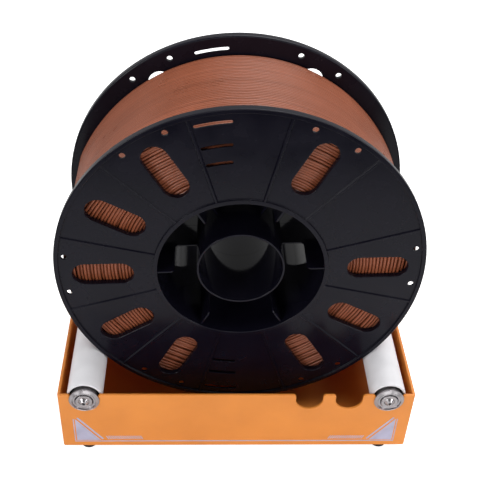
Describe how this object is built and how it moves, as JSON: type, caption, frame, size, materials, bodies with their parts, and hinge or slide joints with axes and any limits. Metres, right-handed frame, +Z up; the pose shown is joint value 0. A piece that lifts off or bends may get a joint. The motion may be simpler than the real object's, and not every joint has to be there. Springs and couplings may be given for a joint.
{
  "type": "filament spool holder",
  "caption": "Open sheet-metal tray with two free-turning rollers in ball bearings that carry a spool of filament by its rims.",
  "frame": {"origin": "under the middle of the stand, on the surface that the feet rest on", "axes": "+Z up, +Y from the front of the stand to its back and along the axes of the spool and the rollers, +X to the right"},
  "size_m": [0.201, 0.1452, 0.2147],
  "materials": {
    "orange_coat": "satin powder coat",
    "rubber": "matt",
    "white_sleeve": "smooth satin",
    "black_plastic": "moulded, half gloss",
    "steel": "ground and polished",
    "shield_steel": "pressed sheet",
    "ball_steel": "polished",
    "filament": "silky, wound"
  },
  "bodies": {
    "stand": {"tray": "orange_coat", "foot_front_left": "rubber", "foot_front_right": "rubber", "foot_back_left": "rubber", "foot_back_right": "rubber", "left_front_bearing_outer_ring": "steel", "left_front_bearing_outer_shield": "shield_steel", "left_front_bearing_inner_shield": "shield_steel", "left_back_bearing_outer_ring": "steel", "left_back_bearing_outer_shield": "shield_steel", "left_back_bearing_inner_shield": "shield_steel", "right_front_bearing_outer_ring": "steel", "right_front_bearing_outer_shield": "shield_steel", "right_front_bearing_inner_shield": "shield_steel", "right_back_bearing_outer_ring": "steel", "right_back_bearing_outer_shield": "shield_steel", "right_back_bearing_inner_shield": "shield_steel"},
    "left_roller": {"left_roller_shaft": "steel", "left_roller_sleeve": "white_sleeve", "left_roller_plug_front": "black_plastic", "left_roller_plug_back": "black_plastic", "left_front_bearing_inner_ring": "steel", "left_back_bearing_inner_ring": "steel"},
    "right_roller": {"right_roller_shaft": "steel", "right_roller_sleeve": "white_sleeve", "right_roller_plug_front": "black_plastic", "right_roller_plug_back": "black_plastic", "right_front_bearing_inner_ring": "steel", "right_back_bearing_inner_ring": "steel"},
    "left_front_balls": {"left_front_bearing_ball_cage": "ball_steel"},
    "left_back_balls": {"left_back_bearing_ball_cage": "ball_steel"},
    "right_front_balls": {"right_front_bearing_ball_cage": "ball_steel"},
    "right_back_balls": {"right_back_bearing_ball_cage": "ball_steel"},
    "spool": {"spool_front_half": "black_plastic", "spool_back_half": "black_plastic", "filament_core": "filament", "filament_outer_layer": "filament"}
  },
  "joints": [
    {"name": "spool_spin", "type": "hinge", "parent": "stand", "child": "spool", "pos_m": [0, 0, 0.11478], "axis": [0, 1, 0], "continuous": true},
    {"name": "left_roller_spin", "type": "hinge", "parent": "stand", "child": "left_roller", "pos_m": [-0.08575, 0, 0.0454], "axis": [0, 1, 0], "continuous": true},
    {"name": "right_roller_spin", "type": "hinge", "parent": "stand", "child": "right_roller", "pos_m": [0.08575, 0, 0.0454], "axis": [0, 1, 0], "continuous": true},
    {"name": "left_front_balls_spin", "type": "hinge", "parent": "stand", "child": "left_front_balls", "pos_m": [-0.08575, -0.0699, 0.0454], "axis": [0, 1, 0], "continuous": true},
    {"name": "left_back_balls_spin", "type": "hinge", "parent": "stand", "child": "left_back_balls", "pos_m": [-0.08575, 0.0699, 0.0454], "axis": [0, 1, 0], "continuous": true},
    {"name": "right_front_balls_spin", "type": "hinge", "parent": "stand", "child": "right_front_balls", "pos_m": [0.08575, -0.0699, 0.0454], "axis": [0, 1, 0], "continuous": true},
    {"name": "right_back_balls_spin", "type": "hinge", "parent": "stand", "child": "right_back_balls", "pos_m": [0.08575, 0.0699, 0.0454], "axis": [0, 1, 0], "continuous": true}
  ],
  "couplings": [
    {"joint": "left_roller_spin", "follows": "spool_spin", "ratio": -10},
    {"joint": "right_roller_spin", "follows": "spool_spin", "ratio": -10},
    {"joint": "left_front_balls_spin", "follows": "spool_spin", "ratio": -3.867},
    {"joint": "left_back_balls_spin", "follows": "spool_spin", "ratio": -3.867},
    {"joint": "right_front_balls_spin", "follows": "spool_spin", "ratio": -3.867},
    {"joint": "right_back_balls_spin", "follows": "spool_spin", "ratio": -3.867}
  ]
}
